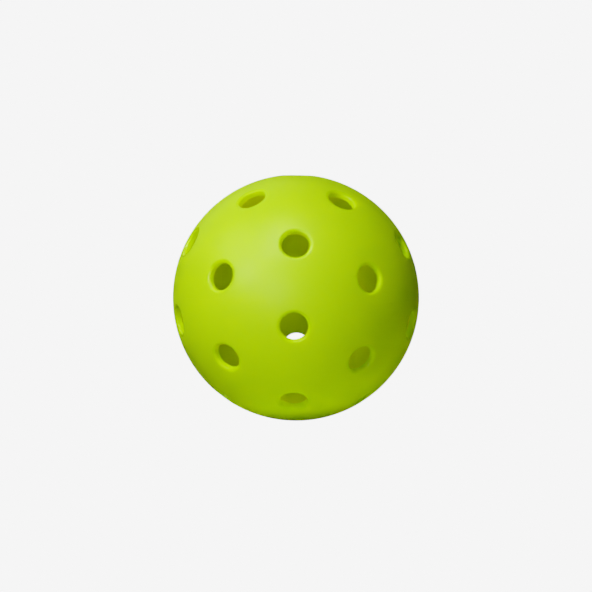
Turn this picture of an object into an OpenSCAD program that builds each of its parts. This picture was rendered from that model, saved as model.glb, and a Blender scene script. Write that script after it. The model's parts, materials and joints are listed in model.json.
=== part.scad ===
// Perforated pickleball: two moulded half shells that lap at the equator and are welded there.
// The origin is the centre of the ball, +Z runs up through the two polar holes and -Y is the front.

/* [Ball] */
// Outside diameter of the ball
ball_d = 74; // [73:0.1:75.5]
// Thickness of the shell
wall = 1.9; // [1.6:0.1:2.2]

/* [Air holes] */
// Diameter of the straight part of each hole
hole_d = 8; // [6:0.1:9]
// Radius of the rounded outer rim of each hole
rim_round = 0.8; // [0.4:0.05:1.1]

/* [Seam] */
// Height of the lip that rises from the lower half into the upper half
lip_h = 1.2; // [0.8:0.1:1.4]
// Radial thickness of the lip
lip_t = 0.9; // [0.7:0.1:1.1]
// Radial clearance between the lip and the recess that takes it
lip_gap = 0.05; // [0.03:0.01:0.1]
// Height of the weld between the top of the lip and the roof of the recess
weld_h = 0.3; // [0.2:0.1:0.4]

/* [Hidden] */
$fa = 1.5;
$fs = 0.2;

ball_r = ball_d / 2;
inner_r = ball_r - wall;
hole_r = hole_d / 2;
lip_r = inner_r + lip_t;
recess_r = lip_r + lip_gap;
recess_h = lip_h + weld_h;
// The weld starts flush with the inner edge of the lip's top
weld_inner_r = sqrt(pow(inner_r, 2) - pow(lip_h, 2));

// The holes sit at the face centres of a truncated icosahedron with a five-fold axis upright.
// Each half has one polar hole and three rows of five, a fifth of a turn apart.
row_holes = 5;
row_step = 360 / row_holes;
front_turn = -90;
steep_lat = asin(sqrt((5 + 2 * sqrt(5)) / 15));
five_lat = atan(1 / 2);
shallow_lat = asin(sqrt((5 - 2 * sqrt(5)) / 15));
// Latitude of a row in the upper half, and how far its first hole is turned from the front
hole_rows = [
    [steep_lat, row_step / 2],
    [five_lat, 0],
    [shallow_lat, row_step / 2],
];

// The rounded rim leaves the bore smoothly and meets the outer skin at this small angle
rim_meet = 12;
rim_x = hole_r + rim_round;
rim_reach_sq = pow(ball_r, 2) + pow(rim_round, 2) - 2 * ball_r * rim_round * cos(rim_meet);
rim_z = sqrt(rim_reach_sq - pow(rim_x, 2));
// The hole's cutter starts inside the hollow and ends outside the ball
cutter_z0 = inner_r - 2 * wall;
cutter_z1 = ball_r + wall;

shell_color = "#B4D61E";
weld_color = "#A6C814";

// Section of the shell's wall to the right of the axis, from the lower pole to the upper one
module wall_section() {
    intersection() {
        difference() {
            circle(ball_r);
            circle(inner_r);
        }
        translate([0, -ball_d]) square([ball_d, 2 * ball_d]);
    }
}

// Cutter for one air hole along +Z: a straight bore that opens over a rounded rim
module hole_cutter() {
    rotate_extrude() {
        translate([0, cutter_z0]) square([hole_r, cutter_z1 - cutter_z0]);
        difference() {
            translate([0, rim_z]) square([rim_x, cutter_z1 - rim_z]);
            translate([rim_x, rim_z]) circle(rim_round);
        }
    }
}

// All the air holes of the upper half
module air_holes() {
    hole_cutter();
    for (row = hole_rows) {
        for (k = [0 : row_holes - 1]) {
            rotate([0, 90 - row[0], front_turn + row[1] + k * row_step]) hole_cutter();
        }
    }
}

// Upper moulding, with the recess inside its edge that takes the lip
module upper_half_shell() {
    color(shell_color)
    difference() {
        rotate_extrude() {
            difference() {
                wall_section();
                translate([0, -ball_d]) square(ball_d);
                square([recess_r, recess_h]);
            }
        }
        air_holes();
    }
}

// Lower moulding: the upper half's hole pattern turned over, and a lip inside its edge
module lower_half_shell() {
    color(shell_color)
    difference() {
        rotate_extrude() {
            difference() {
                wall_section();
                translate([0, lip_h]) square(ball_d);
                translate([lip_r, 0]) square([ball_d, ball_d]);
            }
        }
        rotate([180, 0, 0]) air_holes();
    }
}

// Ring of plastic that was melted between the top of the lip and the roof of the recess
module weld_ring() {
    color(weld_color)
    rotate_extrude() translate([weld_inner_r, lip_h]) square([lip_r - weld_inner_r, weld_h]);
}

upper_half_shell();
lower_half_shell();
weld_ring();
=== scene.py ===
"""A pickleball ball in a pale studio: two perforated half shells and the weld that joins them."""

import json
import logging
import math
from dataclasses import dataclass
from enum import Enum
from typing import Any, ClassVar, Optional, Union

import bmesh
import bpy
from mathutils import Matrix, Vector


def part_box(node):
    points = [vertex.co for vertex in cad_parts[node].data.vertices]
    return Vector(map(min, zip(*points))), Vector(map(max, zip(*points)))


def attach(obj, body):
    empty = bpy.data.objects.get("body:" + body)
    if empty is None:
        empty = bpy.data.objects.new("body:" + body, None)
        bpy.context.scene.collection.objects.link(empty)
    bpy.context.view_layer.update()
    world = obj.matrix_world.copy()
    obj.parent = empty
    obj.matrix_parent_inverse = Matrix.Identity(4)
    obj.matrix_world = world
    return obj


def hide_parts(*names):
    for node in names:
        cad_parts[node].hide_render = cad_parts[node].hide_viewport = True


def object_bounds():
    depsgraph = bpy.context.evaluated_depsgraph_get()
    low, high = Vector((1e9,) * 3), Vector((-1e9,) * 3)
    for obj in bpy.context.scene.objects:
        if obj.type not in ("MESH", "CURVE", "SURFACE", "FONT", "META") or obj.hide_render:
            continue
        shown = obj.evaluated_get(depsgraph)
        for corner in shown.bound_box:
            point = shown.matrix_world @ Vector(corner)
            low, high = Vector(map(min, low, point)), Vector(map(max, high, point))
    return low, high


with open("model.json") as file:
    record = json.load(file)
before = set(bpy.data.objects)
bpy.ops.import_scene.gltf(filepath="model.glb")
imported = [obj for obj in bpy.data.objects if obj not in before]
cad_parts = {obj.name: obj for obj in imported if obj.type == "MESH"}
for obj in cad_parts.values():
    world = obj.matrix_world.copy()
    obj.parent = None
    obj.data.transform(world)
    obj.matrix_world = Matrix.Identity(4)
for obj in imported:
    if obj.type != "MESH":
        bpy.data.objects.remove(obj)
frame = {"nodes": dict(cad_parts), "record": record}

LOG = logging.getLogger("pickleball")
CAD_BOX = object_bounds()
MM = 0.001
WELD_NODE = "weld_ring"
RIM_MARK = "rim"
LAYER_MARK = "layer"

Color = tuple[float, float, float]
Triple = tuple[float, float, float]


class ShellHalf(Enum):
    """The two mouldings of the ball, by the names of their CAD nodes."""

    UPPER = "upper_half_shell"
    LOWER = "lower_half_shell"


class ShellLayer(Enum):
    """The surfaces of a half shell that differ in finish, by the number that marks their faces. The inner
    skin also carries a painted colour that stands in for the light bounced inside the ball.
    """

    SKIN = 0
    INNER = 1
    JOINT = 2

    @property
    def socket(self) -> str:
        """Name of the input that takes the layer's plastic."""
        return f"{self.name.title()} Plastic"


class Wire:
    """An output of a node that takes part in sums written with Python's own signs."""

    def __init__(self, board: "NodeBoard", socket: bpy.types.NodeSocket) -> None:
        """Keeps the socket and the board that its node stands on.

        Args:
            board: The board that adds the nodes of a sum.
            socket: The output socket.
        """
        self.board = board
        self.socket = socket

    def __add__(self, other: "Plug") -> "Wire":
        """Adds a number or another wire."""
        return self.board.math("ADD", self, other)

    def __radd__(self, other: float) -> "Wire":
        """Adds the wire to a number."""
        return self.board.math("ADD", other, self)

    def __sub__(self, other: "Plug") -> "Wire":
        """Takes away a number or another wire."""
        return self.board.math("SUBTRACT", self, other)

    def __rsub__(self, other: float) -> "Wire":
        """Takes the wire away from a number."""
        return self.board.math("SUBTRACT", other, self)

    def __mul__(self, other: "Plug") -> "Wire":
        """Multiplies by a number or another wire."""
        return self.board.math("MULTIPLY", self, other)

    def __truediv__(self, other: "Plug") -> "Wire":
        """Divides by a number or another wire."""
        return self.board.math("DIVIDE", self, other)


Plug = Union[Wire, float, int, bool, str, Triple]


class NodeBoard:
    """Places nodes in a tree, joins them and lays them out in columns."""

    # Nodes in a column, and the steps between columns and between nodes
    COLUMN = 10
    PITCH = (230.0, 190.0)

    def __init__(self, tree: bpy.types.NodeTree) -> None:
        """Starts an empty board.

        Args:
            tree: The node tree to fill.
        """
        self.tree = tree
        self.count = 0

    def add(self, kind: str, inputs: Optional[dict[Any, Plug]] = None, **settings: Any) -> bpy.types.Node:
        """Adds one node.

        Args:
            kind: Blender's name for the node type.
            inputs: Value or wire for each input, by the socket's name or number.
            settings: Properties of the node itself.

        Returns:
            The new node.
        """
        node = self.tree.nodes.new(kind)
        column, row = divmod(self.count, self.COLUMN)
        node.location = (column * self.PITCH[0], -row * self.PITCH[1])
        self.count += 1
        for name, value in settings.items():
            setattr(node, name, value)
        for key, value in (inputs or {}).items():
            self.plug(value, node.inputs[key])
        return node

    def plug(self, value: Plug, socket: bpy.types.NodeSocket) -> None:
        """Joins a wire to an input, or sets the input's own value.

        Args:
            value: The wire or the value.
            socket: The input socket.
        """
        if isinstance(value, Wire):
            self.tree.links.new(value.socket, socket)
        else:
            socket.default_value = value

    def out(self, node: bpy.types.Node, key: Union[str, int] = 0) -> Wire:
        """Returns one output of a node as a wire."""
        return Wire(self, node.outputs[key])

    def math(self, operation: str, *values: Plug, clamp: bool = False) -> Wire:
        """Adds a Math node.

        Args:
            operation: Blender's name for the operation.
            values: Its one to three inputs.
            clamp: True to keep the result between 0 and 1.

        Returns:
            The result.
        """
        node = self.add("ShaderNodeMath", dict(enumerate(values)), operation=operation, use_clamp=clamp)
        return self.out(node)

    def vector(self, operation: str, *values: Plug, scale: Optional[Plug] = None) -> Wire:
        """Adds a Vector Math node.

        Args:
            operation: Blender's name for the operation.
            values: Its vector inputs.
            scale: The factor of a SCALE operation.

        Returns:
            The result, which is a number for DOT_PRODUCT and LENGTH.
        """
        inputs: dict[Any, Plug] = dict(enumerate(values))
        if scale is not None:
            inputs["Scale"] = scale
        node = self.add("ShaderNodeVectorMath", inputs, operation=operation)
        return self.out(node, "Value" if operation in ("DOT_PRODUCT", "LENGTH") else "Vector")

    def ramp(self, value: Plug, start: Plug, end: Plug) -> Wire:
        """Returns how far a value has come from a start to an end, held between 0 and 1."""
        inputs = {"Value": value, "From Min": start, "From Max": end}
        return self.out(self.add("ShaderNodeMapRange", inputs, clamp=True))

    def blend(self, factor: Plug, start: Plug, end: Plug) -> Wire:
        """Mixes two colours.

        Args:
            factor: 0 for the first colour, 1 for the second.
            start: The first colour.
            end: The second colour.

        Returns:
            The colour between them.
        """
        node = self.add("ShaderNodeMix", {"Factor": factor}, data_type="RGBA")
        for value, socket in zip((start, end), (s for s in node.inputs if s.type == "RGBA")):
            self.plug(value, socket)
        return Wire(self, next(s for s in node.outputs if s.type == "RGBA"))

    def attribute(self, name: str, kind: str) -> Wire:
        """Returns a named attribute of the geometry, of the given data type."""
        return self.out(self.add("GeometryNodeInputNamedAttribute", {"Name": name}, data_type=kind))

    def interface(self, sockets: dict[str, str]) -> dict[str, Wire]:
        """Gives the tree its named inputs.

        Args:
            sockets: Socket type for each input's name, in order.

        Returns:
            A wire for each input, by its name.
        """
        for name, kind in sockets.items():
            self.tree.interface.new_socket(name=name, in_out="INPUT", socket_type=kind)
        source = self.add("NodeGroupInput")
        return {name: self.out(source, name) for name in sockets}

    def results(self, outputs: dict[str, tuple[str, Wire]]) -> None:
        """Gives the tree its named outputs and joins them.

        Args:
            outputs: Socket type and wire for each output's name, in order.
        """
        for name, (kind, _) in outputs.items():
            self.tree.interface.new_socket(name=name, in_out="OUTPUT", socket_type=kind)
        sink = self.add("NodeGroupOutput")
        for name, (_, wire) in outputs.items():
            self.plug(wire, sink.inputs[name])


def plain_piece(
    name: str, start: bpy.types.Mesh, tree: bpy.types.NodeTree, values: dict[str, Any]
) -> bpy.types.Object:
    """Runs a Geometry Nodes tree on a mesh and keeps the result as a plain mesh.

    Args:
        name: Name of the new object.
        start: Mesh that the tree starts from.
        tree: The tree.
        values: Value for each of its named inputs.

    Returns:
        The new object, at the origin, with no modifier left on it.
    """
    piece = bpy.data.objects.new(name, start)
    bpy.context.scene.collection.objects.link(piece)
    modifier = piece.modifiers.new("maker", "NODES")
    modifier.node_group = tree
    for item in tree.interface.items_tree:
        if item.in_out == "INPUT" and item.name in values:
            modifier[item.identifier] = values[item.name]
    piece.update_tag()
    graph = bpy.context.evaluated_depsgraph_get()
    made = bpy.data.meshes.new_from_object(piece.evaluated_get(graph), depsgraph=graph)
    piece.modifiers.clear()
    piece.data = made
    made.name = name
    bpy.data.meshes.remove(start)
    return piece


@dataclass(frozen=True)
class BallSizes:
    """Sizes of the ball in metres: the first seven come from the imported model.

    The rim runs out over the skin as a quarter of an ellipse, whose reach is its depth times the spread.
    The last three are the broken inner edge of a hole, the clearance round the lip and the parting line's
    broken edge.
    """

    ball_r: float
    inner_r: float
    hole_r: float
    rim_depth: float
    lip_r: float
    lip_h: float
    recess_h: float
    rim_spread: float = 1.5
    edge_round: float = 0.15 * MM
    lip_gap: float = 0.05 * MM
    seam_nick: float = 0.03 * MM

    @classmethod
    def from_frame(cls) -> "BallSizes":
        """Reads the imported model's boxes and its top hole.

        Returns:
            The sizes of the ball.
        """
        shell_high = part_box(ShellHalf.UPPER.value)[1]
        weld_low, weld_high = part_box(WELD_NODE)
        hole = next(m for m in frame["record"]["mounts"] if m["name"] == "top_hole")
        hole_r = hole["dims"]["r_mm"] * MM
        middle, half_bore = hole["pos_m"][2], hole["dims"]["length_mm"] * MM / 2
        return cls(
            ball_r=shell_high.x,
            inner_r=math.hypot(middle - half_bore, hole_r),
            hole_r=hole_r,
            rim_depth=shell_high.z - middle - half_bore,
            lip_r=weld_high.x,
            lip_h=weld_low.z,
            recess_h=weld_high.z,
        )

    @property
    def rim_reach(self) -> float:
        """How far the rim's round runs out from the bore over the skin."""
        return self.rim_depth * self.rim_spread

    @property
    def recess_r(self) -> float:
        """Radius of the recess that takes the lip."""
        return self.lip_r + self.lip_gap


@dataclass(frozen=True)
class HolePattern:
    """Holes of the upper half: one on the axis and rows of five, a fifth of a turn apart.

    The rows are those of the face centres of a truncated icosahedron, each with its latitude and how far
    its first hole is turned from the front, in degrees.
    """

    # Half the width of the square that a cell is cut from, in radii of the ball
    UNCUT: ClassVar[float] = 2.0

    row_holes: int = 5
    front_turn: float = -90.0
    steep_lat: float = math.degrees(math.asin(math.sqrt((5 + 2 * math.sqrt(5)) / 15)))
    five_lat: float = math.degrees(math.atan(0.5))
    shallow_lat: float = math.degrees(math.asin(math.sqrt((5 - 2 * math.sqrt(5)) / 15)))

    def axes(self) -> list[Vector]:
        """Finds the holes of the upper half.

        Returns:
            The direction of each hole from the ball's centre.
        """
        step = 360.0 / self.row_holes
        rows = ((self.steep_lat, step / 2), (self.five_lat, 0.0), (self.shallow_lat, step / 2))
        found = [Vector((0.0, 0.0, 1.0))]
        for lat, offset in rows:
            for k in range(self.row_holes):
                turn, rise = math.radians(self.front_turn + offset + k * step), math.radians(lat)
                flat = math.cos(rise)
                found.append(Vector((flat * math.cos(turn), flat * math.sin(turn), math.sin(rise))))
        return found

    @staticmethod
    def clipped(corners: list[Vector], normal: Vector) -> list[Vector]:
        """Cuts a flat outline with a plane through the centre of the ball.

        Args:
            corners: Corners of the outline, in order.
            normal: Normal of the plane, on the side that is kept.

        Returns:
            The corners that are left.
        """
        kept: list[Vector] = []
        for here, after in zip(corners, corners[1:] + corners[:1]):
            side, next_side = here.dot(normal), after.dot(normal)
            if side >= 0.0:
                kept.append(here)
            if (side >= 0.0) != (next_side >= 0.0):
                kept.append(here.lerp(after, side / (side - next_side)))
        return kept

    def cell(self, axis: Vector, axes: list[Vector]) -> list[Vector]:
        """Finds the part of the half that lies nearer to one hole than to any other.

        Args:
            axis: Direction of the hole.
            axes: Directions of all the holes of the half.

        Returns:
            Unit directions of the cell's corners, in order.
        """
        across = axis.orthogonal().normalized()
        along = axis.cross(across)
        signs = ((1, 1), (-1, 1), (-1, -1), (1, -1))
        corners = [axis + self.UNCUT * (a * across + b * along) for a, b in signs]
        for other in axes:
            if other is not axis:
                corners = self.clipped(corners, axis - other)
        corners = self.clipped(corners, Vector((0.0, 0.0, 1.0)))
        return [c.normalized() for c in corners]

    def outline_mesh(self, name: str, step: float) -> bpy.types.Mesh:
        """Draws the outline of every cell as a closed loop of edges on the unit ball.

        Args:
            name: Name of the mesh.
            step: Longest edge, as an angle in radians.

        Returns:
            The mesh, whose points carry the direction of their hole as the attribute hole_axis.
        """
        points: list[Vector] = []
        edges: list[tuple[int, int]] = []
        owners: list[float] = []
        axes = self.axes()
        for axis in axes:
            corners = self.cell(axis, axes)
            first = len(points)
            for here, after in zip(corners, corners[1:] + corners[:1]):
                count = max(2, round(here.angle(after) / step))
                points += [here.slerp(after, k / count) for k in range(count)]
            last = len(points)
            edges += [(k, k + 1 if k + 1 < last else first) for k in range(first, last)]
            owners += [value for _ in range(first, last) for value in axis]
        mesh = bpy.data.meshes.new(name)
        mesh.from_pydata([tuple(p) for p in points], edges, [])
        mesh.attributes.new("hole_axis", "FLOAT_VECTOR", "POINT").data.foreach_set("vector", owners)
        return mesh


@dataclass(frozen=True)
class ShellRows:
    """How many rows of faces each part of the wall's section gets, from the outer skin inwards."""

    skin: int = 14
    rim: int = 10
    bore: int = 3
    edge: int = 3
    inner: int = 10


class ShellTree:
    """The Geometry Nodes tree that sweeps the section of the wall round every hole of a half shell."""

    SOCKETS = {
        "Cell Outlines": "NodeSocketGeometry",
        "Ball Radius": "NodeSocketFloat",
        "Inner Radius": "NodeSocketFloat",
        "Hole Radius": "NodeSocketFloat",
        "Rim Reach": "NodeSocketFloat",
        "Rim Depth": "NodeSocketFloat",
        "Edge Round": "NodeSocketFloat",
        "Seam Radius": "NodeSocketFloat",
        "Seam Height": "NodeSocketFloat",
        "Seam Nick": "NodeSocketFloat",
        "Skin Rows": "NodeSocketInt",
        "Rim Rows": "NodeSocketInt",
        "Bore Rows": "NodeSocketInt",
        "Edge Rows": "NodeSocketInt",
        "Inner Rows": "NodeSocketInt",
        **{layer.socket: "NodeSocketMaterial" for layer in ShellLayer},
    }
    # Share of the rim over which its smoother finish sets in
    RIM_START = 0.25
    # Points nearer to each other than this, in metres, are made one
    WELD = 2e-6
    # An edge bent by more than this, in radians, stays sharp
    SHARP = math.radians(35.0)

    def __init__(self) -> None:
        """Builds the tree."""
        self.tree = bpy.data.node_groups.new("perforated_half_shell", "GeometryNodeTree")
        self.board = NodeBoard(self.tree)
        self.given = self.board.interface(self.SOCKETS)
        self.ends = self.row_ends()
        swept = self.swept_cells()
        placed = self.board.add(
            "GeometryNodeSetPosition", {"Geometry": swept, "Position": self.section_point()}
        )
        marked = self.marked(self.board.out(placed))
        joined = self.merged(marked)
        self.finish(self.seam_faces(joined))

    def merged(self, geometry: Wire) -> Wire:
        """Returns the geometry with the points that meet made one."""
        node = self.board.add("GeometryNodeMergeByDistance", {"Geometry": geometry, "Distance": self.WELD})
        return self.board.out(node)

    def row_ends(self) -> list[Wire]:
        """Counts the rows of the section.

        Returns:
            The row at which each of its five parts ends.
        """
        ends = [self.given["Skin Rows"] * 1.0]
        for name in ("Rim Rows", "Bore Rows", "Edge Rows", "Inner Rows"):
            ends.append(ends[-1] + self.given[name])
        return ends

    def swept_cells(self) -> Wire:
        """Sweeps the rows of the section along the outline of every cell.

        Returns:
            A grid of faces for each cell: rows from the outer skin inwards, columns round the hole.
        """
        board = self.board
        loops = board.add("GeometryNodeMeshToCurve", {"Mesh": self.given["Cell Outlines"]})
        kept = board.add(
            "GeometryNodeStoreNamedAttribute",
            {
                "Geometry": board.out(loops),
                "Name": "cell_edge",
                "Value": board.out(board.add("GeometryNodeInputPosition")),
            },
            data_type="FLOAT_VECTOR",
        )
        line = board.add("GeometryNodeMeshLine", {"Count": self.ends[-1] + 1.0, "Offset": (MM, 0.0, 0.0)})
        profile = board.add("GeometryNodeMeshToCurve", {"Mesh": board.out(line)})
        numbered = board.add(
            "GeometryNodeStoreNamedAttribute",
            {
                "Geometry": board.out(profile),
                "Name": "row",
                "Value": board.out(board.add("GeometryNodeInputIndex")),
            },
            data_type="FLOAT",
        )
        swept = board.add(
            "GeometryNodeCurveToMesh", {"Curve": board.out(kept), "Profile Curve": board.out(numbered)}
        )
        outward = board.add("GeometryNodeFlipFaces", {"Mesh": board.out(swept)})
        return board.out(outward)

    def section_point(self) -> Wire:
        """Places the points by their row in the section and their column round the hole.

        Returns:
            The place of each point.
        """
        board = self.board
        row = board.attribute("row", "FLOAT")
        starts = [0.0, *self.ends[:-1]]
        skin, rim, bore, edge, inner = (board.ramp(row, a, b) for a, b in zip(starts, self.ends))
        across, along = self.wall_section(rim, bore, edge)
        axis = board.attribute("hole_axis", "FLOAT_VECTOR")
        toward = self.column_direction(bore)
        cosine = board.vector("DOT_PRODUCT", toward, axis)
        square = board.vector("SUBTRACT", toward, board.vector("SCALE", axis, scale=cosine))
        outward = board.vector("NORMALIZE", square)
        far = board.math("ARCCOSINE", cosine)
        near = board.math("ARCTAN2", across, along)
        share = (1.0 - skin) + inner
        angle = near + (far - near) * share
        reach = board.math("SQRT", across * across + along * along)
        return board.vector(
            "ADD",
            board.vector("SCALE", axis, scale=reach * board.math("COSINE", angle)),
            board.vector("SCALE", outward, scale=reach * board.math("SINE", angle)),
        )

    def wall_section(self, rim: Wire, bore: Wire, edge: Wire) -> tuple[Wire, Wire]:
        """Draws the section of the wall at a hole: round rim, straight bore and broken inner edge.

        Args:
            rim: How far along the rim's round a point is.
            bore: How far along the bore it is.
            edge: How far along the inner edge it is.

        Returns:
            Distance from the hole's axis, and distance along it from the ball's centre.
        """
        board, given = self.board, self.given
        quarter = math.pi / 2
        hole_r, reach, edge_r = given["Hole Radius"], given["Rim Reach"], given["Edge Round"]
        rim_x = hole_r + reach
        rim_z = board.math("SQRT", given["Ball Radius"] * given["Ball Radius"] - rim_x * rim_x)
        climb = reach * rim_x / rim_z
        bore_top = rim_z + climb - given["Rim Depth"]
        edge_x = hole_r + edge_r
        edge_reach = given["Inner Radius"] + edge_r
        edge_z = board.math("SQRT", edge_reach * edge_reach - edge_x * edge_x)
        inward = 1.0 - board.math("SINE", rim * quarter)
        upward = board.math("COSINE", rim * quarter)
        edge_from = board.math("ARCTAN2", edge_x, edge_z)
        edge_turn = (edge_from - quarter) * edge - quarter
        across = hole_r + reach * inward + edge_r * (board.math("SINE", edge_turn) + 1.0)
        along = (
            bore_top
            - climb * inward
            + given["Rim Depth"] * upward
            - (bore_top - edge_z) * bore
            + edge_r * board.math("COSINE", edge_turn)
        )
        return across, along

    def marked(self, geometry: Wire) -> Wire:
        """Marks the rims and bores of the holes, and the inner skin, for the plastic's finish.

        Args:
            geometry: The placed rows of faces.

        Returns:
            The same faces with the two marks. The rim's rises from 0 at the skin to 1 a short way in.
        """
        board = self.board
        row = board.attribute("row", "FLOAT")
        skin_end, rim_end, bore_end, edge_end, _ = self.ends
        smooth_from = skin_end + (rim_end - skin_end) * self.RIM_START
        rim = board.ramp(row, skin_end, smooth_from) * board.ramp(row, edge_end, bore_end)
        stored = board.add(
            "GeometryNodeStoreNamedAttribute",
            {"Geometry": geometry, "Name": RIM_MARK, "Value": rim},
            data_type="FLOAT",
        )
        inner = board.math("GREATER_THAN", row, edge_end) * ShellLayer.INNER.value
        return self.layered(board.out(stored), inner)

    def layered(self, geometry: Wire, layer: Plug, chosen: Plug = True) -> Wire:
        """Marks faces as a layer of the shell.

        Args:
            geometry: The faces.
            layer: The layer's number.
            chosen: Which faces to mark.

        Returns:
            The same faces with the mark.
        """
        stored = self.board.add(
            "GeometryNodeStoreNamedAttribute",
            {"Geometry": geometry, "Selection": chosen, "Name": LAYER_MARK, "Value": layer},
            data_type="FLOAT",
            domain="FACE",
        )
        return self.board.out(stored)

    def column_direction(self, bore: Wire) -> Wire:
        """Finds the direction of each column's foot on the outline of its cell.

        Args:
            bore: How far a point is from the outer skin to the inner one.

        Returns:
            The direction, lifted to the seam's height on each skin.
        """
        board, given = self.board, self.given
        edge = board.attribute("cell_edge", "FLOAT_VECTOR")
        height = board.out(board.add("ShaderNodeSeparateXYZ", {0: edge}), "Z")
        outer_lift = given["Seam Nick"] / given["Ball Radius"]
        inner_rise = board.math("ARCSINE", given["Seam Height"] / given["Inner Radius"])
        inner_lift = board.math("TANGENT", inner_rise)
        lift = (outer_lift + (inner_lift - outer_lift) * bore) * (1.0 - height)
        raised = board.add("ShaderNodeCombineXYZ", {"Z": lift})
        return board.vector("NORMALIZE", board.vector("ADD", edge, board.out(raised)))

    def seam_faces(self, shell: Wire) -> Wire:
        """Closes the shell at the parting line with the step of the lap joint.

        Args:
            shell: The shell, open at the parting line.

        Returns:
            The closed shell.
        """
        board, given = self.board, self.given
        faces = board.out(board.add("GeometryNodeInputMeshEdgeNeighbors"), "Face Count")
        place = board.out(board.add("GeometryNodeInputPosition"))
        middle = (given["Ball Radius"] + given["Inner Radius"]) * 0.5
        single = board.math("LESS_THAN", faces, 1.5)
        outside = board.math("GREATER_THAN", board.vector("LENGTH", place), middle)
        chosen = single * outside
        height, inner = given["Seam Height"], given["Inner Radius"]
        inside = board.math("SQRT", inner * inner - height * height)
        steps: list[tuple[Plug, Plug, ShellLayer]] = [
            (given["Ball Radius"] - given["Seam Nick"], 0.0, ShellLayer.SKIN),
            (given["Seam Radius"], 0.0, ShellLayer.JOINT),
            (given["Seam Radius"], height, ShellLayer.JOINT),
            (inside, height, ShellLayer.JOINT),
        ]
        for radius, level, layer in steps:
            grown = board.add(
                "GeometryNodeExtrudeMesh",
                {"Mesh": shell, "Selection": chosen, "Offset Scale": 0.0},
                mode="EDGES",
            )
            chosen = board.out(grown, "Top")
            flat = board.vector("NORMALIZE", board.vector("MULTIPLY", place, (1.0, 1.0, 0.0)))
            lifted = board.add("ShaderNodeCombineXYZ", {"Z": level})
            target = board.vector("ADD", board.vector("SCALE", flat, scale=radius), board.out(lifted))
            moved = board.add(
                "GeometryNodeSetPosition",
                {"Geometry": board.out(grown), "Selection": chosen, "Position": target},
            )
            shell = self.layered(board.out(moved), layer.value, board.out(grown, "Side"))
        return self.merged(shell)

    def finish(self, shell: Wire) -> None:
        """Shades the shell, gives each layer its plastic and makes the shell the tree's result.

        A layer's plastic also goes on the layers after it, which then get their own.

        Args:
            shell: The closed shell.
        """
        board = self.board
        smooth = board.add(
            "GeometryNodeSetShadeSmooth", {"Geometry": shell, "Shade Smooth": True}, domain="FACE"
        )
        angle = board.out(board.add("GeometryNodeInputMeshEdgeAngle"), "Unsigned Angle")
        sharp = board.add(
            "GeometryNodeSetShadeSmooth",
            {
                "Geometry": board.out(smooth),
                "Selection": board.math("GREATER_THAN", angle, self.SHARP),
                "Shade Smooth": False,
            },
            domain="EDGE",
        )
        real = board.add("GeometryNodeRealizeInstances", {"Geometry": board.out(sharp)})
        dressed = board.out(real)
        for layer in ShellLayer:
            mark = board.attribute(LAYER_MARK, "FLOAT")
            node = board.add(
                "GeometryNodeSetMaterial",
                {
                    "Geometry": dressed,
                    "Selection": board.math("GREATER_THAN", mark, layer.value - 0.5),
                    "Material": self.given[layer.socket],
                },
            )
            dressed = board.out(node)
        board.results({"Half Shell": ("NodeSocketGeometry", dressed)})


@dataclass
class PerforatedShell:
    """One moulded half of the ball, with its share of the air holes and of the lap joint.

    The step is the longest edge round a cell of the outer skin.
    """

    half: ShellHalf
    sizes: BallSizes
    pattern: HolePattern
    rows: ShellRows
    step: float = 0.75 * MM

    def seam(self) -> tuple[float, float]:
        """Finds the step of this half at the parting line, as the half lies before it is turned over.

        Returns:
            The step's radius and its height.
        """
        if self.half is ShellHalf.UPPER:
            return self.sizes.recess_r, self.sizes.recess_h
        return self.sizes.lip_r, -self.sizes.lip_h

    def build(self, tree: ShellTree, plastics: dict[ShellLayer, bpy.types.Material]) -> bpy.types.Object:
        """Makes the half shell and stands it in for its CAD node.

        Args:
            tree: The tree that sweeps the shell.
            plastics: The finish of each layer.

        Returns:
            The finished piece.
        """
        sizes, rows = self.sizes, self.rows
        seam_r, seam_h = self.seam()
        outlines = self.pattern.outline_mesh(self.half.value + "_cells", self.step / sizes.ball_r)
        piece = plain_piece(
            self.half.value + "_moulding",
            outlines,
            tree.tree,
            {
                "Ball Radius": sizes.ball_r,
                "Inner Radius": sizes.inner_r,
                "Hole Radius": sizes.hole_r,
                "Rim Reach": sizes.rim_reach,
                "Rim Depth": sizes.rim_depth,
                "Edge Round": sizes.edge_round,
                "Seam Radius": seam_r,
                "Seam Height": seam_h,
                "Seam Nick": sizes.seam_nick,
                "Skin Rows": rows.skin,
                "Rim Rows": rows.rim,
                "Bore Rows": rows.bore,
                "Edge Rows": rows.edge,
                "Inner Rows": rows.inner,
                **{layer.socket: plastic for layer, plastic in plastics.items()},
            },
        )
        if self.half is ShellHalf.LOWER:
            piece.data.transform(Matrix.Rotation(math.pi, 4, "X"))
        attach(piece, "root")
        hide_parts(self.half.value)
        return piece


@dataclass
class WeldRing:
    """The ring of melted plastic between the halves, whose CAD solid is right as it is."""

    node: str = WELD_NODE

    def dress(self, plastic: bpy.types.Material) -> bpy.types.Object:
        """Gives the ring its finish.

        Args:
            plastic: The finish.

        Returns:
            The ring's CAD object.
        """
        ring = frame["nodes"][self.node]
        ring.data.materials.clear()
        ring.data.materials.append(plastic)
        return ring


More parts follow.
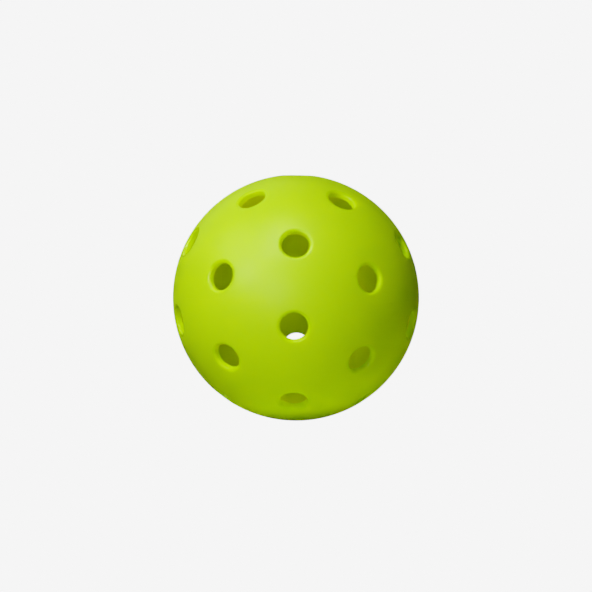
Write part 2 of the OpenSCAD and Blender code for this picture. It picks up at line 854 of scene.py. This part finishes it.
@dataclass(frozen=True)
class MouldedPlastic:
    """Semi-matt dyed plastic that lets some of the light through the wall.

    The rims of holes may be smoother than the skin and pass light of another colour.
    """

    name: str
    base: Color
    deep: Color
    through: Color
    rim_through: Optional[Color] = None
    through_share: float = 0.5
    roughness: float = 0.4
    roughness_spread: float = 0.05
    rim_roughness: float = 0.12
    bump: float = 0.012 * MM
    ior: float = 1.5
    specular: float = 0.15

    def build(self, skin: bpy.types.NodeTree) -> bpy.types.Material:
        """Makes the material.

        Args:
            skin: The shared node group of the moulded surface.

        Returns:
            The material.
        """
        material = bpy.data.materials.new(self.name)
        material.use_nodes = True
        board = NodeBoard(material.node_tree)
        nodes = material.node_tree.nodes
        shader = nodes["Principled BSDF"]
        rim = board.out(board.add("ShaderNodeAttribute", attribute_name=RIM_MARK), "Fac")
        given: dict[Any, Plug] = {
            "Place": board.out(board.add("ShaderNodeTexCoord"), "Object"),
            "Base": (*self.base, 1.0),
            "Deep": (*self.deep, 1.0),
            "Roughness": self.roughness,
            "Roughness Spread": self.roughness_spread,
            "Rim Roughness": self.rim_roughness,
            "Rim": rim,
        }
        group = board.add("ShaderNodeGroup", given, node_tree=skin)
        bump = board.add("ShaderNodeBump", {"Height": board.out(group, "Height"), "Distance": self.bump})
        board.plug(board.out(group, "Color"), shader.inputs["Base Color"])
        board.plug(board.out(group, "Roughness"), shader.inputs["Roughness"])
        board.plug(board.out(bump), shader.inputs["Normal"])
        shader.inputs["IOR"].default_value = self.ior
        shader.inputs["Specular IOR Level"].default_value = self.specular
        passed: Plug = (*self.through, 1.0)
        if self.rim_through is not None:
            passed = board.blend(rim, passed, (*self.rim_through, 1.0))
        glow = board.add("ShaderNodeBsdfTranslucent", {"Color": passed})
        mix = board.add(
            "ShaderNodeMixShader", {0: self.through_share, 1: board.out(shader), 2: board.out(glow)}
        )
        board.plug(board.out(mix), nodes["Material Output"].inputs["Surface"])
        return material


@dataclass(frozen=True)
class MouldedSkin:
    """The surface that all the plastics share: clouded dye, uneven gloss and a fine grain.

    The scales are in waves per metre. The dye turns from base to deep as the cloud goes from low to high.
    """

    cloud_scale: float = 160.0
    cloud_detail: float = 3.0
    cloud_low: float = 0.35
    cloud_high: float = 0.7
    cloud_middle: float = 0.5
    grain_scale: float = 2600.0
    grain_detail: float = 2.0

    SOCKETS: ClassVar[dict[str, str]] = {
        "Place": "NodeSocketVector",
        "Base": "NodeSocketColor",
        "Deep": "NodeSocketColor",
        "Roughness": "NodeSocketFloat",
        "Roughness Spread": "NodeSocketFloat",
        "Rim Roughness": "NodeSocketFloat",
        "Rim": "NodeSocketFloat",
    }

    @staticmethod
    def noise(board: NodeBoard, place: Wire, scale: float, detail: float) -> Wire:
        """Returns a noise of the given scale and detail over the surface."""
        node = board.add("ShaderNodeTexNoise", {"Vector": place, "Scale": scale, "Detail": detail})
        return board.out(node)

    def build(self) -> bpy.types.NodeTree:
        """Builds the node group.

        Returns:
            The node group.
        """
        tree = bpy.data.node_groups.new("moulded_skin", "ShaderNodeTree")
        board = NodeBoard(tree)
        given = board.interface(self.SOCKETS)
        cloud = self.noise(board, given["Place"], self.cloud_scale, self.cloud_detail)
        grain = self.noise(board, given["Place"], self.grain_scale, self.grain_detail)
        skin_rough = given["Roughness"] + (cloud - self.cloud_middle) * given["Roughness Spread"]
        rough = skin_rough + (given["Rim Roughness"] - skin_rough) * given["Rim"]
        color = board.blend(
            board.ramp(cloud, self.cloud_low, self.cloud_high), given["Base"], given["Deep"]
        )
        board.results(
            {
                "Color": ("NodeSocketColor", color),
                "Roughness": ("NodeSocketFloat", rough),
                "Height": ("NodeSocketFloat", grain),
            }
        )
        return tree


class LightUse(Enum):
    """What a studio light adds to the ball: light and shade, or gloss alone."""

    SHADING = "shading"
    GLOSS = "gloss"


@dataclass(frozen=True)
class SoftBox:
    """A round studio light that faces the ball.

    The distance and the size are in metres, and the power is in watts.
    """

    name: str
    toward: Triple
    distance: float
    size: float
    power: float
    use: LightUse = LightUse.SHADING

    def build(self) -> bpy.types.Object:
        """Hangs the light.

        Returns:
            The light.
        """
        data = bpy.data.lights.new(self.name, "AREA")
        data.shape = "DISK"
        data.size = self.size
        data.energy = self.power
        light = bpy.data.objects.new(self.name, data)
        bpy.context.scene.collection.objects.link(light)
        toward = Vector(self.toward).normalized()
        light.location = toward * self.distance
        shades = self.use is LightUse.SHADING
        light.visible_camera = False
        light.visible_diffuse = shades
        light.visible_transmission = shades
        light.visible_glossy = not shades
        light.rotation_euler = toward.to_track_quat("Z", "Y").to_euler()
        return light


@dataclass(frozen=True)
class StudioCamera:
    """The camera at the photograph's viewing angle, in metres and degrees, with its lens in millimetres."""

    distance: float = 0.511
    azimuth: float = 0.65
    elevation: float = 2.155
    roll: float = 0.883
    lens: float = 103.08
    sensor: float = 36.0
    shift: tuple[float, float] = (0.0, 0.00273)
    clip: tuple[float, float] = (0.01, 20.0)

    def build(self) -> bpy.types.Object:
        """Makes the camera and takes it into use.

        Returns:
            The camera.
        """
        turn, rise = math.radians(self.azimuth), math.radians(self.elevation)
        back = Vector((math.sin(turn) * math.cos(rise), -math.cos(turn) * math.cos(rise), math.sin(rise)))
        data = bpy.data.cameras.new("studio_camera")
        data.sensor_width = self.sensor
        data.lens = self.lens
        data.shift_x, data.shift_y = self.shift
        data.clip_start, data.clip_end = self.clip
        camera = bpy.data.objects.new("studio_camera", data)
        bpy.context.scene.collection.objects.link(camera)
        camera.location = back * self.distance
        upright = (-back).to_track_quat("-Z", "Y").to_matrix()
        rolled = upright @ Matrix.Rotation(math.radians(self.roll), 3, "Z")
        camera.rotation_euler = rolled.to_euler()
        bpy.context.scene.camera = camera
        return camera


@dataclass(frozen=True)
class ToneCurve:
    """The soft shoulder of a photograph: light x is shown as x / (1 + shoulder * x)."""

    # Number of the curve that acts on red, green and blue alike
    COMBINED: ClassVar[int] = 3

    shoulder: float = 0.7
    points: int = 12

    @property
    def white_level(self) -> float:
        """Light that is shown as pure white."""
        return 1.0 / (1.0 - self.shoulder)

    def scene_value(self, shown: float) -> float:
        """Returns the light that is shown as the given value."""
        return shown / (1.0 - self.shoulder * shown)

    def apply(self, view: bpy.types.ColorManagedViewSettings) -> None:
        """Draws the curve in the scene's view settings.

        Args:
            view: The view settings.
        """
        view.view_transform = "Standard"
        view.look = "None"
        view.use_curve_mapping = True
        mapping = view.curve_mapping
        white = self.white_level
        mapping.white_level = (white, white, white)
        for k in range(1, self.points):
            part = (k / self.points) ** 2
            light = part * white
            mapping.curves[self.COMBINED].points.new(part, light / (1.0 + self.shoulder * light))
        mapping.update()


@dataclass
class Studio:
    """The pale floor that sweeps up into a wall all round, the lights and the camera.

    The camera sees the paper as even white. The light that it throws back at the ball comes mostly from an
    oval card under the ball, and fades to the far grey beyond it.
    """

    floor_z: float
    floor_rings: tuple[float, ...] = (0.0, 0.2, 0.5)
    floor_r: float = 1.0
    sweep_r: float = 0.6
    sweep_steps: int = 16
    wall_h: float = 1.4
    turn_steps: int = 128
    weld: float = 1e-6
    white: float = 0.913
    card_at: Triple = (0.016, -0.015, 0.0)
    card_narrow: Triple = (1.5, 1.0, 0.0)
    card_r: float = 0.045
    card_fade: float = 0.03
    card_grey: float = 0.86
    card_tint: Color = (1.0, 1.0, 0.05)
    far_grey: float = 0.18
    paper_roughness: float = 0.9
    tone: ToneCurve = ToneCurve()
    lights: tuple[SoftBox, ...] = (
        SoftBox("key_light", (-0.356, -0.653, 0.667), 0.8, 0.2, 11.8),
        SoftBox("left_light", (-0.65, -0.6, 0.3), 0.8, 0.2, 3.0),
        SoftBox("front_light", (0.0, -1.0, 0.1), 1.0, 0.4, 0.9),
        SoftBox("back_light", (-0.1, 0.62, 0.77), 0.9, 0.5, 1.45),
        SoftBox("side_fill", (0.55, 0.8, 0.15), 1.0, 0.6, 0.8),
        SoftBox("glint_light", (-0.356, -0.653, 0.667), 0.8, 0.1, 5.8, LightUse.GLOSS),
        SoftBox("left_sheen", (-0.65, -0.6, 0.35), 0.8, 0.2, 10.7, LightUse.GLOSS),
        SoftBox("front_sheen", (-0.3, -0.9, 0.15), 0.8, 0.3, 7.5, LightUse.GLOSS),
        SoftBox("side_sheen", (-0.75, -0.2, 0.62), 0.8, 0.4, 6.3, LightUse.GLOSS),
        SoftBox("top_sheen", (-0.2, -0.5, 0.85), 0.8, 0.4, 15.0, LightUse.GLOSS),
        SoftBox("far_sheen", (-0.5, 0.5, 0.7), 0.8, 0.9, 2.5, LightUse.GLOSS),
    )

    def floor(self) -> bpy.types.Object:
        """Turns the floor's profile round the ball's axis.

        Returns:
            The floor.
        """
        turns = [math.pi / 2 * k / self.sweep_steps for k in range(self.sweep_steps + 1)]
        profile = [(r, 0.0) for r in self.floor_rings]
        profile += [
            (self.floor_r + self.sweep_r * math.sin(t), self.sweep_r * (1 - math.cos(t))) for t in turns
        ]
        profile.append((self.floor_r + self.sweep_r, self.wall_h))
        work = bmesh.new()
        points = [work.verts.new((r, 0.0, self.floor_z + z)) for r, z in profile]
        lines = [work.edges.new(pair) for pair in zip(points, points[1:])]
        bmesh.ops.spin(
            work,
            geom=points + lines,
            cent=(0.0, 0.0, 0.0),
            axis=(0.0, 0.0, 1.0),
            angle=2 * math.pi,
            steps=self.turn_steps,
            use_merge=True,
        )
        bmesh.ops.remove_doubles(work, verts=work.verts, dist=self.weld)
        bmesh.ops.recalc_face_normals(work, faces=work.faces)
        mesh = bpy.data.meshes.new("studio_floor")
        work.to_mesh(mesh)
        work.free()
        mesh.shade_smooth()
        mesh.materials.append(self.paper())
        floor = bpy.data.objects.new("studio_floor", mesh)
        bpy.context.scene.collection.objects.link(floor)
        floor.visible_glossy = False
        return floor

    def paper(self) -> bpy.types.Material:
        """Makes the pale paper, which the camera sees evenly lit.

        Returns:
            The paper's material.
        """
        material = bpy.data.materials.new("studio_paper")
        material.use_nodes = True
        board = NodeBoard(material.node_tree)
        nodes = material.node_tree.nodes
        shader = nodes["Principled BSDF"]
        place = board.out(board.add("ShaderNodeTexCoord"), "Object")
        off_card = board.vector("MULTIPLY", board.vector("SUBTRACT", place, self.card_at), self.card_narrow)
        away = board.ramp(board.vector("LENGTH", off_card), self.card_r, self.card_r + self.card_fade)
        grey = self.card_grey + away * (self.far_grey - self.card_grey)
        board.plug(board.vector("SCALE", self.card_tint, scale=grey), shader.inputs["Base Color"])
        shader.inputs["Roughness"].default_value = self.paper_roughness
        shader.inputs["Specular IOR Level"].default_value = 0.0
        bright = self.tone.scene_value(self.white)
        glow = board.add("ShaderNodeEmission", {"Color": (1.0, 1.0, 1.0, 1.0), "Strength": bright})
        seen = board.out(board.add("ShaderNodeLightPath"), "Is Camera Ray")
        mix = board.add("ShaderNodeMixShader", {0: seen, 1: board.out(shader), 2: board.out(glow)})
        board.plug(board.out(mix), nodes["Material Output"].inputs["Surface"])
        return material

    def build(self) -> None:
        """Sets up the floor, the lights, the surrounding light and the camera."""
        self.floor()
        for light in self.lights:
            light.build()
        scene = bpy.context.scene
        scene.world = bpy.data.worlds.new("dark_room")
        scene.world.color = (0.0, 0.0, 0.0)
        self.tone.apply(scene.view_settings)
        StudioCamera().build()


def shell_plastics(skin: bpy.types.NodeTree) -> dict[ShellLayer, bpy.types.Material]:
    """Makes the plastic of each layer of the half shells.

    Args:
        skin: The shared node group of the moulded surface.

    Returns:
        The material of each layer.
    """
    finishes = {
        ShellLayer.SKIN: MouldedPlastic(
            "lime_plastic",
            base=(0.45, 0.835, 0.0005),
            deep=(0.435, 0.815, 0.0005),
            through=(0.885, 0.92, 0.001),
            rim_through=(0.84, 0.93, 0.001),
        ),
        # The inside is painted a yellower lime than the skin; this stands in for the colour of the light
        # bounced inside the ball. Its rougher finish with no gloss is its own.
        ShellLayer.INNER: MouldedPlastic(
            "lime_plastic_inside",
            base=(0.7, 0.83, 0.002),
            deep=(0.67, 0.81, 0.002),
            through=(0.9, 0.915, 0.001),
            roughness=0.8,
            specular=0.0,
        ),
        ShellLayer.JOINT: MouldedPlastic(
            "lime_plastic_joint",
            base=(0.68, 0.83, 0.002),
            deep=(0.65, 0.81, 0.002),
            through=(1.0, 1.0, 1.0),
            through_share=1.0,
        ),
    }
    return {layer: finish.build(skin) for layer, finish in finishes.items()}


def main() -> None:
    """Builds the ball piece by piece and sets it in the studio."""
    logging.basicConfig(level=logging.INFO, format="%(name)s: %(message)s")
    sizes = BallSizes.from_frame()
    LOG.info("sizes %s", sizes)
    skin = MouldedSkin().build()
    plastics = shell_plastics(skin)
    weld_plastic = MouldedPlastic(
        "weld_plastic", base=(0.64, 0.79, 0.002), deep=(0.6, 0.75, 0.002), through=(0.92, 0.91, 0.001)
    ).build(skin)
    tree = ShellTree()
    pattern, rows = HolePattern(), ShellRows()
    for half in ShellHalf:
        piece = PerforatedShell(half, sizes, pattern, rows).build(tree, plastics)
        piece.data.calc_loop_triangles()
        LOG.info("%s: %d triangles", piece.name, len(piece.data.loop_triangles))
    LOG.info("%s: dressed", WeldRing().dress(weld_plastic).name)
    Studio(floor_z=CAD_BOX[0].z).build()


if __name__ == "__main__":
    main()
